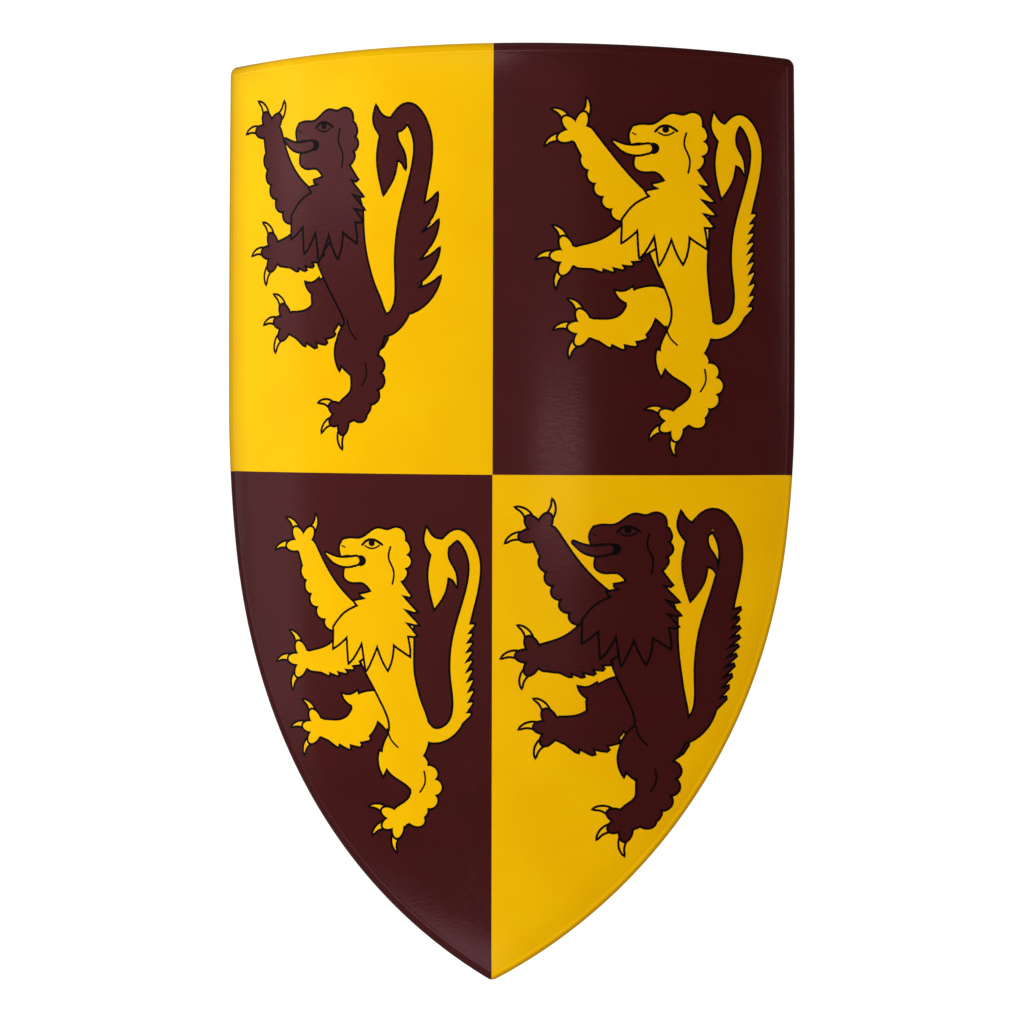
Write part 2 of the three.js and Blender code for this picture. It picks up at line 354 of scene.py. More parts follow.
def half_outline(inset):
    """The right half from the tip to the middle of the upper edge, that far inside the board's
    edge: the places, and the outward direction at each."""
    point, shoulder, side, upper = [
        radius - inset for radius in (POINT_RADIUS, SHOULDER_RADIUS, SIDE_RADIUS, UPPER_RADIUS)]
    tip_angle = -np.arccos(-point_centre[0] / point)
    tip = np.array([0.0, point_centre[1] + point * np.sin(tip_angle)])
    quarter_angle = np.arcsin((QUARTER_HEIGHT - SHOULDER_HEIGHT) / shoulder)
    # The corner is where the side's circle crosses the upper edge's circle.
    across = upper_centre - side_centre
    apart = np.linalg.norm(across)
    swing = np.arccos((side**2 - upper**2 + apart**2) / (2 * side * apart))
    side_angle = np.arctan2(across[1], across[0]) + swing
    corner = side_centre + side * np.array([np.cos(side_angle), np.sin(side_angle)])
    upper_angle = np.arctan2(*(corner - upper_centre)[::-1])
    # Each run ends with its count of steps, about one to every 6 mm of edge.
    runs = [
        arc(tip, 0.0, -np.pi / 2, tip_angle, 8),
        arc(point_centre, point, tip_angle, -SHOULDER_SWEEP, 84),
        arc(shoulder_centre, shoulder, -SHOULDER_SWEEP, quarter_angle, 12),
        arc(shoulder_centre, shoulder, quarter_angle, 0.0, 10),
        arc(side_centre, side, 0.0, side_angle, 54),
        arc(corner, 0.0, side_angle, upper_angle, 12),
        arc(upper_centre, upper, upper_angle, np.pi / 2, 46),
    ]
    places, away = [np.concatenate(parts) for parts in zip(*runs)]
    places[-1, 0] = 0.0
    return places, away


def whole_outline(inset):
    """Both halves, counterclockwise from the tip: the right one going up and its mirror down."""
    return [np.concatenate([half, (half * (-1, 1))[::-1]]) for half in half_outline(inset)]


def depth_inside(flat):
    """How far inside the board's edge each place is: the nearer of the upper edge and of the arc
    that bounds the side at that height."""
    u, v = np.abs(flat[..., 0]), flat[..., 1]
    place = np.stack([u, v], axis=-1)

    def inside(centre, radius):
        return radius - np.linalg.norm(place - centre, axis=-1)

    below = np.arctan2(shoulder_centre[1] - v, u - shoulder_centre[0])
    beside = np.select(
        [v > SHOULDER_HEIGHT, below < SHOULDER_SWEEP],
        [inside(side_centre, SIDE_RADIUS), inside(shoulder_centre, SHOULDER_RADIUS)],
        inside(point_centre, POINT_RADIUS))
    return np.minimum(beside, inside(upper_centre, UPPER_RADIUS))


field_places, field_away = whole_outline(RIM_WIDTH)
board_edge = field_places + RIM_WIDTH * field_away
print("outline:", len(board_edge), "stations, width and height in mm",
      np.ptp(board_edge, axis=0).round(1))

# %% [markdown]
# ## Drawing the figures
# The lions are drawn as a painter of arms draws them: each limb is one swelling stroke, and tufts
# of fur are cut along its edge. A stroke is a smooth line through a few places with a width at
# each. The line is a natural cubic spline, which bends as a thin springy batten does when it is
# pinned at those places.

# %% Smooth lines
LINE_STEP = 2.0  # mm between the points of a drawn line
FINE_STEPS = 40  # points worked out for each pin, before they are evened out


def run_along(line):
    """How far each point is along the line."""
    return np.concatenate([[0.0], np.cumsum(np.linalg.norm(np.diff(line, axis=0), axis=1))])


def even(line, count=None):
    """The same line with evenly spaced points."""
    run = run_along(line)
    count = count or max(2, int(np.ceil(run[-1] / LINE_STEP)) + 1)
    at = np.linspace(0, run[-1], count)
    return np.stack([np.interp(at, run, line[:, 0]), np.interp(at, run, line[:, 1])], axis=1)


def batten(pins):
    """The natural cubic spline through the pins, run along their chords: the bending at each pin
    solves the equations that keep slope and bending continuous, with none at the ends."""
    pins = np.array(pins, float)
    last = len(pins) - 1
    run = run_along(pins)
    gap = np.diff(run)
    inner = np.arange(1, last)
    rule = np.eye(last + 1)
    rule[inner, inner - 1] = gap[:-1]
    rule[inner, inner] = 2 * (gap[:-1] + gap[1:])
    rule[inner, inner + 1] = gap[1:]
    change = np.zeros((last + 1, 2))
    change[1:-1] = 6 * np.diff(np.diff(pins, axis=0) / gap[:, None], axis=0)
    bending = np.linalg.solve(rule, change)
    t = np.linspace(0, run[-1], FINE_STEPS * (last + 1))
    part = np.clip(np.searchsorted(run, t, side="right") - 1, 0, last - 1)
    after = (t - run[part])[:, None]
    before = (run[part + 1] - t)[:, None]
    g = gap[part][:, None]
    line = (bending[part] * before**3 + bending[part + 1] * after**3) / (6 * g)
    line += (pins[part] / g - bending[part] * g / 6) * before
    line += (pins[part + 1] / g - bending[part + 1] * g / 6) * after
    return even(line)


def ahead_and_left(line):
    """The unit direction of travel at each point, and the one to its left."""
    ahead = np.gradient(line, axis=0)
    ahead /= np.linalg.norm(ahead, axis=1)[:, None]
    return ahead, np.stack([-ahead[:, 1], ahead[:, 0]], axis=1)


print("a batten through 3 pins:", len(batten([(0, 0), (30, 12), (60, 0)])), "points")

# %% [markdown]
# ## Fur, limbs, toes and claws
# Fur is a row of teeth on the right of a line: a pointed tooth rises slowly, leans over and falls
# back, and a round one is an arch. A limb is a batten with a width, and each of its two sides may
# carry fur. Toes are ovals, and a claw is a thorn that hooks aside as it thins.

# %% The parts of a figure
def fur(line, count, depth, pointed=True, sweep=0.8):
    """The line pushed to its right by that many teeth. The row shrinks towards both of its ends,
    and a pointed tooth leans along the line by its sweep times its depth."""
    points_per_tooth = 8
    base = even(line, count=count * points_per_tooth + 1)
    s = np.arange(len(base)) / points_per_tooth
    through = s - np.floor(s)
    peak = 0.5 + 0.25 * sweep
    tooth = np.where(through < peak, (through / peak) ** 1.15, (1 - through) / (1 - peak))
    arch = np.sin(np.pi * through) ** 0.6
    shrink = np.sin(np.pi * np.clip(s / count, 0.14, 0.86)) ** 0.5
    reach = depth * shrink * (tooth if pointed else arch)
    ahead, left = ahead_and_left(base)
    lean = sweep if pointed else 0.0
    return base - left * reach[:, None] + ahead * (reach * lean)[:, None]


def widths_along(middle, pins, widths):
    """The limb's width all along its middle line: straight from pin to pin, then smoothed."""
    near = np.linalg.norm(middle[:, None] - np.array(pins, float)[None], axis=2).argmin(axis=0)
    near[0] = 0
    near[-1] = len(middle) - 1
    width = np.interp(np.arange(len(middle)), near, widths)
    reach = max(3, len(middle) // (2 * len(pins)) * 2 + 1)
    padded = np.pad(width, reach // 2, mode="reflect", reflect_type="odd")
    return np.convolve(padded, np.ones(reach) / reach, mode="valid")


def limb(pins, widths, *coats):
    """A swelling stroke with round ends, as a closed outline. Each coat of fur is (side, start,
    end, count, depth, pointed), with start and end as shares of that side."""
    middle = batten(pins)
    half = widths_along(middle, pins, widths)[:, None] / 2
    ahead, left = ahead_and_left(middle)
    right_side = middle - left * half
    left_side = (middle + left * half)[::-1]
    for side, start, end, count, depth, pointed in coats:
        line = right_side if side == "right" else left_side
        if side == "left":
            start, end = 1 - end, 1 - start
        i, j = int(start * (len(line) - 1)), int(end * (len(line) - 1))
        furred = fur(line[i:j + 1], count, depth, pointed)
        line = np.concatenate([line[:i], furred, line[j + 1:]])
        if side == "right":
            right_side = line
        else:
            left_side = line
    swing = np.linspace(0, np.pi, 9)[1:-1, None]
    far_end = middle[-1] + half[-1] * (np.sin(swing) * ahead[-1] - np.cos(swing) * left[-1])
    near_end = middle[0] + half[0] * (np.cos(swing) * left[0] - np.sin(swing) * ahead[0])
    return np.concatenate([right_side, far_end, left_side, near_end])


def closed_shape(*runs):
    """A closed outline, counterclockwise. Each run is (pins,) or (pins, and the fur on it)."""
    lines = []
    for pins, *coat in runs:
        line = batten(pins)
        lines.append((fur(line, *coat) if coat else line)[:-1])
    return np.concatenate(lines)


def oval(x, y, turn, long, wide):
    """An ellipse with its long axis turned to that angle."""
    angle = np.linspace(0, 2 * np.pi, 24, endpoint=False)
    t = np.radians(turn)
    place = np.stack([long * np.cos(angle), wide * np.sin(angle)], axis=1)
    return place @ np.array([[np.cos(t), np.sin(t)], [-np.sin(t), np.cos(t)]]) + (x, y)


def claw(x, y, turn, long, wide, hook):
    """A thorn: its width falls to nothing as the power 1.4 of the way along, and its direction
    turns by the hook."""
    s = np.linspace(0, 1, 10)
    t = np.radians(turn) + np.radians(hook) * (s - 0.35)
    steps = np.stack([np.cos(t), np.sin(t)], axis=1)[:-1] * long / (len(s) - 1)
    middle = np.concatenate([[[x, y]], (x, y) + np.cumsum(steps, axis=0)])
    ahead, left = ahead_and_left(middle)
    side = left * (wide / 2 * (1 - s**1.4))[:, None]
    return np.concatenate([middle - side, (middle + side)[-2::-1]])


def paw(x, y, turns, reach=10.5, size=9.5, long=18.0, hook=65.0):
    """The pad and toes of a paw, and a claw on each toe."""
    toes = [oval(x, y, 0, reach * 0.85, reach * 0.85)]
    claws = []
    for turn in turns:
        away = np.array([np.cos(np.radians(turn)), np.sin(np.radians(turn))])
        toes.append(oval(*((x, y) + reach * away), turn, size, size * 0.55))
        claws.append(claw(*((x, y) + (reach + size * 0.55) * away), turn, long, 6.0, hook))
    return toes, claws


print("a paw has", len(paw(0, 0, (0, 60, 120))[1]), "claws")

# %% [markdown]
# ## A lion on its hind legs
# The beast is built in layers, from the limbs at the back to the head in front, because each layer
# is outlined in black over the one behind it. The two dark lions have heavier limbs and a far
# thicker tail than the two yellow ones, so one number, from 0 to 1, says how heavy it is.

# %% Head, mane and tuft
def between(light, heavy, bulk):
    """Widths for that bulk: the light ones at 0 and the heavy ones at 1."""
    return np.array(light) * (1 - bulk) + np.array(heavy) * bulk


def lion_head(lean):
    """Nose, lips, jaw, back of the head and brow, then a mane of pointed locks, all moved back by
    the lean."""
    skull = closed_shape(
        ([(86, 306), (82.5, 299), (84, 290)],),
        ([(84, 290), (94, 291), (106, 286)],),
        ([(106, 284), (96, 279.5), (88, 277)],),
        ([(88, 277), (88, 268), (96, 264), (107, 264), (119, 252)],),
        ([(119, 252), (144, 260), (149, 286), (152, 306)],),
        ([(152, 306), (150, 316), (142, 319), (134, 316.5), (124, 318), (114, 313), (104, 307.5),
          (94, 307.5), (86, 306)],))
    mane = closed_shape(
        ([(119, 256), (112, 248), (103, 240)], 2, 9, True, 0.7),
        ([(103, 240), (88, 232), (76, 218)],),
        ([(76, 218), (94, 209), (114, 204), (136, 203), (154, 212)], 5, 28, True, 0.05),
        ([(154, 212), (150, 236), (147, 266)], 4, 15, True, -0.7),
        ([(147, 266), (151, 278), (153, 292), (152, 306)], 3, 5.5, False),
        ([(152, 306), (136, 290), (126, 272), (119, 256)],))
    return [skull - (lean, 0), mane - (lean, 0)]


def tail_tuft(bulk, lean):
    """The leaf-shaped tuft that hangs from the tail's end, with a barb on each side. The heavy
    lion's is broader."""
    leaf = closed_shape(
        ([(192, 313), (180, 308), (171, 310), (164, 319)],),
        ([(164, 319), (162, 306), (169, 293)],),
        ([(169, 293), (166, 276), (167, 260), (172, 240)],),
        ([(172, 240), (182, 256), (185, 271)],),
        ([(185, 271), (190, 269), (194, 263)],),
        ([(194, 263), (192, 277), (186, 288), (186, 302), (192, 313)],))
    return (leaf - (178, 300)) * (1 + 0.15 * bulk, 1 + 0.04 * bulk) + (178 - 0.35 * lean, 300)


print("a head and mane have", sum(len(shape) for shape in lion_head(0.0)), "points")


# %% The lion's layers
def lion(bulk, lean, flames):
    """The lion's layers from back to front. Each is (paint, closed outlines), where the paint is
    coat, claw or black. It faces left and is about 210 mm wide and 330 mm high. Bulk thickens the
    limbs, lean, in mm, carries the head and chest away from the tail, and flames is the number of
    long locks that curl out of the tail."""
    fur_depth = 5.5 * (1 + 0.2 * bulk)
    slip = 20 * bulk  # the heavy lion stands with its foot further forward
    layers = []

    toes, claws = paw(33 - 0.5 * lean, 300, (72 - 0.7 * lean, 134 - 0.7 * lean, 196 - 0.7 * lean))
    arm = limb([(108 - 0.9 * lean, 212), (86 - 1.1 * lean, 232), (60 - lean, 264),
                (39 - 0.6 * lean, 296)],
               between((40, 34, 27, 20), (44, 38, 29, 23), bulk),
               ("left", 0.12, 0.86, 6, fur_depth, False))
    layers += [("claw", claws), ("coat", toes + [arm])]

    toes, claws = paw(44, 116, (122, 178, 232))
    thigh = limb([(146, 108), (126, 128), (106, 141), (94, 139)],
                 between((30, 27, 28, 28), (44, 46, 48, 42), bulk))
    shank = limb([(96, 138), (88, 121), (70, 113), (50, 115)],
                 between((28, 30, 24, 18), (36, 38, 32, 22), bulk),
                 ("left", 0.32, 0.88, 4, fur_depth, True))
    knee = claw(88 - 4 * bulk, 147 + 4 * bulk, 175, 20, 15, -70)
    layers += [("claw", claws), ("coat", toes + [thigh, shank, knee])]

    toes, claws = paw(131 - slip, 29, (158, 208, 260))
    trunk = limb([(127 - 0.9 * lean, 218), (130 - 0.85 * lean, 195), (136 - 0.7 * lean, 166),
                  (142 - 0.45 * lean, 140), (143 - 0.15 * lean, 118), (137, 102), (130, 92)],
                 between((64, 58, 43, 36, 40, 42, 34), (70, 64, 56, 48, 48, 48, 38), bulk))
    leg = limb([(138, 106), (131 - slip / 3, 91), (145 - slip / 2, 76), (155 - slip, 61),
                (149 - slip, 44), (134 - slip, 32)],
               between((38, 36, 29, 26, 19, 19), (44, 42, 36, 32, 24, 22), bulk),
               ("left", 0.3, 0.88, 5, fur_depth * 1.1, False))
    bow = 8 * bulk  # the heavy tail keeps further in at its root
    tail = limb([(150, 124), (165 - bow / 2, 113), (183 - bow, 120), (192 - bow, 142),
                 (190 - bow / 2, 172), (191, 206), (199, 240), (206, 272), (202, 300), (189, 313),
                 (178, 305)],
                between((18, 13, 11, 13, 14, 13, 11, 10, 10, 9.5, 9),
                        (24, 20, 18, 20, 25, 27, 22, 20, 20, 19, 18), bulk),
                ("right", 0.2, 0.58, 10, 8.5 + 4.5 * bulk, True))
    locks = [claw(184 - bow / 2 + 3 * step, 136 + 25 * step, 20 + 4 * step, 52 - 3 * step, 25, 62)
             for step in range(flames)]
    heel = [claw(117 - slip / 3, 92, 258, 21, 15, 30), oval(147 - slip, 30, -30, 10, 7.5)]
    layers += [("claw", claws),
               ("coat", toes + [trunk, leg, tail, tail_tuft(bulk, lean)] + locks + heel)]

    toes, claws = paw(27, 184, (118, 180, 240))
    arm = limb([(116 - 0.9 * lean, 222), (94 - 0.6 * lean, 205), (62 - 0.2 * lean, 187), (36, 183)],
               between((38, 37, 27, 20), (44, 46, 36, 25), bulk),
               ("left", 0.44, 0.88, 5, fur_depth, True))
    layers += [("claw", claws), ("coat", toes + [arm])]

    tongue = limb([(100 - lean, 285.5), (90 - lean, 283.8), (78 - lean, 285.5), (67 - lean, 292)],
                  (7.5, 8.5, 6.5, 0.8))
    layers += [("coat", lion_head(lean)), ("black", [oval(105 - lean, 285.5, 0, 6, 5.5)]),
               ("coat", [tongue]), ("black", [oval(117 - lean, 303.4, 0, 3.4, 3.2)])]
    return layers


def brush_lines(bulk, lean):
    """Black lines painted on the coat: ear, eyelids, nostril, hip and hock."""
    slip = 20 * bulk
    on_head = (
        ([(137, 300), (135, 289), (140, 277), (139, 263)], 2.0),
        ([(107, 301.5), (112, 306), (119, 306.8), (128, 302)], 2.6),
        ([(110, 300.5), (115, 298.2), (120, 298.4), (125, 301)], 1.7),
        ([(85, 300), (88, 298.5)], 1.4),
    )
    on_leg = (
        ([(118, 118), (122, 107), (129, 100)], 1.8),
        ([(156 - slip, 77), (157 - slip, 66), (152 - slip, 56)], 1.8),
    )
    drawn = [limb(pins, [width] * len(pins)) - (lean, 0) for pins, width in on_head]
    return drawn + [limb(pins, [width] * len(pins)) for pins, width in on_leg]


print("a lion has", sum(len(shapes) for paint, shapes in lion(0.0, 0.0, 0)), "outlines")

# %% [markdown]
# ## Quarters and layers of paint
# The face is quartered: yellow at its upper left and lower right, maroon at the others, with a
# lion in the other colour on each. A painter lays the quarters first, then each layer of the
# figure with its black line. The same order is used here. Every shape gets a rank, all shapes are
# cut into one net of triangles, and each triangle wears the paint of the highest rank on it.

# %% Laying out the paint
YELLOW, MAROON, BLACK = 0, 1, 2
OUTLINE_WIDTH = 2.2  # mm of black round each shape
BLUNTEST = 0.55  # a wedge reaches no further out than the line's width divided by this
STRAIGHT = 0.04  # the sine of a turn that is too slight to need a wedge
FIGURES = (
    # left, right, bottom and top on the pattern in mm, coat, bulk, lean, flames
    (-258.4, -48.0, 57.3, 385.1, MAROON, 0.8, 28.0, 4),
    (38.9, 250.0, 52.6, 380.2, YELLOW, 0.0, 0.0, 0),
    (-223.1, -9.4, -316.0, -2.5, YELLOW, 0.0, 16.0, 0),
    (7.5, 232.6, -314.4, 14.2, MAROON, 1.0, 7.0, 0),
)


def black_edges(shape, width):
    """Black all round a counterclockwise outline: an oblong outside each of its sides, and a
    wedge that fills the gap between two oblongs wherever the outline turns outwards."""
    ahead = np.roll(shape, -1, axis=0) - shape
    long = np.linalg.norm(ahead, axis=1)
    shape, ahead = shape[long > 1e-6], (ahead / np.maximum(long, 1e-9)[:, None])[long > 1e-6]
    out = np.stack([ahead[:, 1], -ahead[:, 0]], axis=1) * width
    after, out_before = np.roll(shape, -1, axis=0), np.roll(out, 1, axis=0)
    oblongs = np.stack([shape, shape + out, after + out, after], axis=1)
    middle = out + out_before
    middle /= np.maximum(np.linalg.norm(middle, axis=1), 1e-9)[:, None]
    share = np.clip((middle * out).sum(axis=1) / width, BLUNTEST, 1.0)[:, None]
    wedges = np.stack([shape, shape + out_before, shape + middle * width / share, shape + out], axis=1)
    turning = out_before[:, 0] * out[:, 1] - out_before[:, 1] * out[:, 0]
    return [*oblongs, *wedges[turning > STRAIGHT * width**2]]


def figure_shapes(left, right, bottom, top, coat, bulk, lean, flames):
    """Every shape of one lion on the pattern, with its rank and paint. Within a layer the paint
    covers the black lines, so that parts of one layer run together."""
    layers = lion(bulk, lean, flames) + [("black", brush_lines(bulk, lean))]
    drawn = np.concatenate([shape for paint, shapes in layers for shape in shapes])
    low, high = drawn.min(axis=0), drawn.max(axis=0)
    inner_low = np.array([left, bottom]) + OUTLINE_WIDTH
    scale = (np.array([right, top]) - OUTLINE_WIDTH - inner_low) / (high - low)
    paints = {"coat": coat, "claw": YELLOW, "black": BLACK}
    for rank, (paint, shapes) in enumerate(layers, start=1):
        for shape in shapes:
            placed = inner_low + (shape - low) * scale
            if paint != "black":
                for edge in black_edges(placed, OUTLINE_WIDTH):
                    yield edge, 2 * rank, BLACK
            yield placed, 2 * rank + 1, paints[paint]


shapes_laid = [laid for figure in FIGURES for laid in figure_shapes(*figure)]
print("shapes to cut into the face:", len(shapes_laid))

# %% [markdown]
# ## The painted face as one net
# The cut is a constrained Delaunay triangulation: it keeps every line as edges of triangles and
# says which shapes hold each triangle. A lattice of extra points, some 12 mm apart, lets the net
# bend with the board, and two more rows of points follow the rim.

# %% Cutting the face
LATTICE = 12.0
EDGE_ROWS = (3.0, 8.0)  # mm inside the field's edge
LATTICE_START = 10.0
CUT_NEARNESS = 0.003  # mm: places nearer than this become one


def numbered(sides, start):
    """The corner numbers of polygons with that many sides each, one after another."""
    ends = start + np.cumsum(sides)
    return [list(range(end - count, end)) for end, count in zip(ends, sides)]


def quarter_outlines(border, centre_number):
    """The four quarters as loops of numbers, from the tip counterclockwise. Several stations share
    a sharp corner, so each place goes by the number of the first station on it."""
    ring = np.sort(np.unique(np.round(border, 6), axis=0, return_index=True)[1])
    ring_v = border[ring, 1]
    beside = np.flatnonzero(np.abs(ring_v - QUARTER_HEIGHT) < 1e-6)
    turns = [0, beside[0], np.argmax(ring_v), beside[1], len(ring)]
    closed = np.append(ring, ring[0])
    return [[centre_number, *closed[a:b + 1]] for a, b in zip(turns[:-1], turns[1:])]


def cut_face():
    """The flat net of the painted face: its places, its triangles, and the paint of each."""
    border = whole_outline(RIM_WIDTH)[0]
    count = len(border)
    centre = np.array([[0.0, QUARTER_HEIGHT]])
    rows = [whole_outline(RIM_WIDTH + inset)[0] for inset in EDGE_ROWS]
    reach_u, reach_v = int(HALF_WIDTH // LATTICE), int(HEIGHT // LATTICE)
    lattice = np.stack(np.meshgrid(
        LATTICE * np.arange(-reach_u, reach_u + 1),
        QUARTER_HEIGHT + LATTICE * np.arange(-reach_v, reach_v + 1)), axis=-1).reshape(-1, 2)
    lattice = lattice[depth_inside(lattice) > RIM_WIDTH + LATTICE_START]

    outlines = [shape for shape, rank, paint in shapes_laid]
    polygons = quarter_outlines(border, count) + numbered([len(s) for s in outlines], count + 1)
    places = np.concatenate([border, centre, *outlines, *rows, lattice])
    result = delaunay_2d_cdt(places, [], polygons, 0, CUT_NEARNESS, True)
    cut, triangles, from_places, from_polygons = [result[n] for n in (0, 2, 3, 5)]

    # A shape's value is four times its rank plus its paint, so the highest also names a paint.
    value = np.array([YELLOW, MAROON, YELLOW, MAROON]
                     + [4 * rank + paint for shape, rank, paint in shapes_laid])
    held = np.array([len(holders) for holders in from_polygons])
    inside = held > 0
    holders = np.concatenate([np.asarray(found, int) for found in from_polygons if found])
    starts = np.concatenate([[0], np.cumsum(held[inside])[:-1]])
    paints = np.maximum.reduceat(value[holders], starts) % 4

    # The net's numbers are rounded, so the border's own exact places are put back.
    net = np.array(cut, float)
    lowest = np.array([min(sources, default=count) for sources in from_places])
    net[lowest < count] = border[lowest[lowest < count]]
    return net, np.array(triangles)[inside], paints


face_net, face_triangles, face_paints = cut_face()
print("face:", len(face_net), "places,", len(face_triangles), "triangles, paints",
      np.bincount(face_paints))

# %% [markdown]
# ## The fall towards the rim
# The wood's edges are rounded before the hide goes on, so the face falls away a little towards its
# rim. The fall is slight, but it turns the border of the face to other parts of the room, and a
# glossy face shows that as a band of other brightness along its border.

# %% Height of the face
FACE_FALL = 1.1  # mm down at the rim
FALL_REACH = 34.0  # mm from the rim to where the fall starts
NORMAL_STEP = 0.25


def face_over(flat):
    """Height over the plain bend, in mm: a parabola that starts level and is steepest at the rim."""
    near = np.clip(1 - (depth_inside(flat) - RIM_WIDTH) / FALL_REACH, 0, 1)
    return -FACE_FALL * near**2


def face_normals(flat):
    """The direction out of the face: the cross product of a short step across and one up it."""
    across, up = [
        bend(flat + move, face_over(flat + move)) - bend(flat - move, face_over(flat - move))
        for move in NORMAL_STEP * np.eye(2)]
    normal = np.cross(across, up)
    return normal / np.linalg.norm(normal, axis=-1, keepdims=True)


face_heights = face_over(face_net)
print("the face falls", round(-face_heights.min(), 2), "mm at the rim")

# %% [markdown]
# ## The rim's section
# Round the painted face runs a narrow groove and then a bead, where the cover is drawn over a cord
# and rolled down the board's edge. Behind, the cover is turned over on to the wood and glued, and
# its cut edge is never quite even. The section is one line of places, carried round the outline
# station by station, and closed by the inside of the cover, which lies on the wood.

# %% Rim section
GROOVE_REACH = 1.3  # mm from the field's edge to the groove's floor
GROOVE_DEPTH = 0.15
BEAD_TOP = 4.9  # mm from the field's edge to the bead's top
BEAD_HEIGHT = 0.45  # mm over the field's edge
BEAD_ROLL = 3.2
BOARD_THICKNESS = 9.0
BACK_CHAMFER = 1.4
COVER_THICKNESS = 0.6
TURNED_OVER = 21.0  # how far the cover reaches over the back, inside the painted field's edge


def rim_section(fine):
    """Distance outwards from the field's edge and height over the plain bend: a soft groove, a
    cosine swell up to the bead's top, an ellipse down over the edge, and a soft turn behind."""
    t = np.linspace(0, 1, 5)
    groove = np.stack([t * GROOVE_REACH, -FACE_FALL - GROOVE_DEPTH * np.sin(t * np.pi / 2)**2], 1)
    t = np.linspace(0, 1, fine)[1:]
    inner = np.stack([GROOVE_REACH + (BEAD_TOP - GROOVE_REACH) * t,
                      groove[-1, 1] + (BEAD_HEIGHT + GROOVE_DEPTH) * (1 - np.cos(t * np.pi)) / 2], 1)
    swing = np.linspace(np.pi / 2, 0, fine)[1:]
    outer = np.stack([BEAD_TOP + (RIM_WIDTH - BEAD_TOP) * np.cos(swing),
                      -BEAD_ROLL + (inner[-1, 1] + BEAD_ROLL) * np.sin(swing)], 1)
    turn = np.linspace(0, np.pi / 2, 5)
    back = np.stack([RIM_WIDTH - BACK_CHAMFER * (1 - np.cos(turn)),
                     BACK_CHAMFER - BOARD_THICKNESS - BACK_CHAMFER * np.sin(turn)], 1)
    return np.concatenate([groove, inner, outer, back])


section = rim_section(9)
print("rim section:", len(section), "places, down to", section[:, 1].min(), "mm")

# %% [markdown]
# ## The cover
# The cover is one skin: the painted net in front, the rim, the band that is turned over behind,
# and its own inside. Its pattern is kept in a map of real metres, measured along the surface, so
# that the grain of the hide runs on over the rim without stretching.

# %% Shape of the cover
BAND_ROOM = 6.0  # mm: how far past its mean the uneven edge may come
BAND_WANDER = 1.1
LINING_COLUMNS = 25


def wander(along, size):
    """A slow uneven line: three sines whose lengths don't divide into each other."""
    waves = np.sin(along / 37.0) + 0.6 * np.sin(along / 17.3 + 1.1) + 0.4 * np.sin(along / 8.9 + 2.3)
    return size * waves / 2


def rows_across(places, columns):
    """Rows straight across from the left half of the outline to the right half."""
    share = np.linspace(-1, 1, columns)
    return np.stack([places[:, :1] * share, places[:, 1:] * np.ones_like(share)], axis=-1)


stations = len(field_places)
run_round = run_along(field_places)
wood_back = COVER_THICKNESS - BOARD_THICKNESS

# Outside: the rim's section, then the band behind, as far as its uneven edge.
deepest = TURNED_OVER + BAND_ROOM
uneven = wander(run_round, BAND_WANDER) * np.sin(np.pi * run_round / run_round[-1])  # none at the tip
share = ((TURNED_OVER + uneven) / deepest)[:, None, None] * np.array([[0.0], [0.5], [1.0]])
band_flat = field_places[:, None] * (1 - share) + whole_outline(RIM_WIDTH + deepest)[0][:, None] * share
rim_flat = field_places[:, None] + field_away[:, None] * section[:, :1]
# Inside: back under the band, up beside the board's edge and in under the painted face. As in the
# rim's section, each place is a distance outwards from the field's edge, and a height.
inside = np.array([[0.0, wood_back], [5.8, wood_back], [7.3, -7.2], [7.3, -3.3],
                   [0.0, -FACE_FALL - COVER_THICKNESS]])
inside_flat = field_places[:, None] + field_away[:, None] * inside[:, :1]
round_flat = np.concatenate([rim_flat, band_flat, band_flat[:, -1:], inside_flat], axis=1)
round_over = np.concatenate([section[:, 1], [-BOARD_THICKNESS] * 3, [wood_back], inside[:, 1]])
columns = round_flat.shape[1]
outer_columns = len(section) + 3

lining_flat = rows_across(half_outline(RIM_WIDTH)[0], LINING_COLUMNS)
cover_skin = joined(
    (bend(face_net, face_heights), face_triangles),
    sheet(bend(round_flat, round_over)),
    sheet(bend(lining_flat, face_over(lining_flat) - COVER_THICKNESS), flipped=True))
print("cover before welding:", len(cover_skin[0]), "places,", len(cover_skin[1]), "triangles")

# %% Paint, pattern and grain map of the cover
HIDE = 3  # the bare hide's place in the list of paints
PAST_EDGE_SHADE = 40.0  # mm: as far from the edge as a place needs to be to have neither grime nor painted shade

# Which paint or bare hide each face wears. The paint stops on the last turn at the back.
edge_middles = (board_edge[1:] + board_edge[:-1]) / 2
edge_paint = np.where((edge_middles[:, 0] > 0) == (edge_middles[:, 1] > QUARTER_HEIGHT), MAROON, YELLOW)
painted = np.arange(columns - 1) < len(section) - 1
cell_wears = np.where(painted, edge_paint[:, None], HIDE)
lining_faces = len(cover_skin[1]) - len(face_paints) - 2 * cell_wears.size
wears = np.concatenate([face_paints, np.tile(cell_wears.reshape(-1), 2), np.full(lining_faces, HIDE)])

# The pattern runs on over the rim by the length of the section, so its scale stays true.
steps_out = np.linalg.norm(np.diff(round_flat[:, :outer_columns], axis=1), axis=2)
steps = np.hypot(steps_out, np.diff(round_over[:outer_columns]))
section_run = np.pad(np.cumsum(steps, axis=1), ((0, 0), (1, 0)))
outer_pattern = field_places[:, None] + field_away[:, None] * section_run[:, :, None]
hidden_pattern = np.full((stations, columns - outer_columns, 2), np.nan)
pattern = np.concatenate([
    face_net, np.concatenate([outer_pattern, hidden_pattern], axis=1).reshape(-1, 2),
    np.full((lining_flat[..., 0].size, 2), np.nan)])
flat_places = np.concatenate([face_net, round_flat.reshape(-1, 2), lining_flat.reshape(-1, 2)])
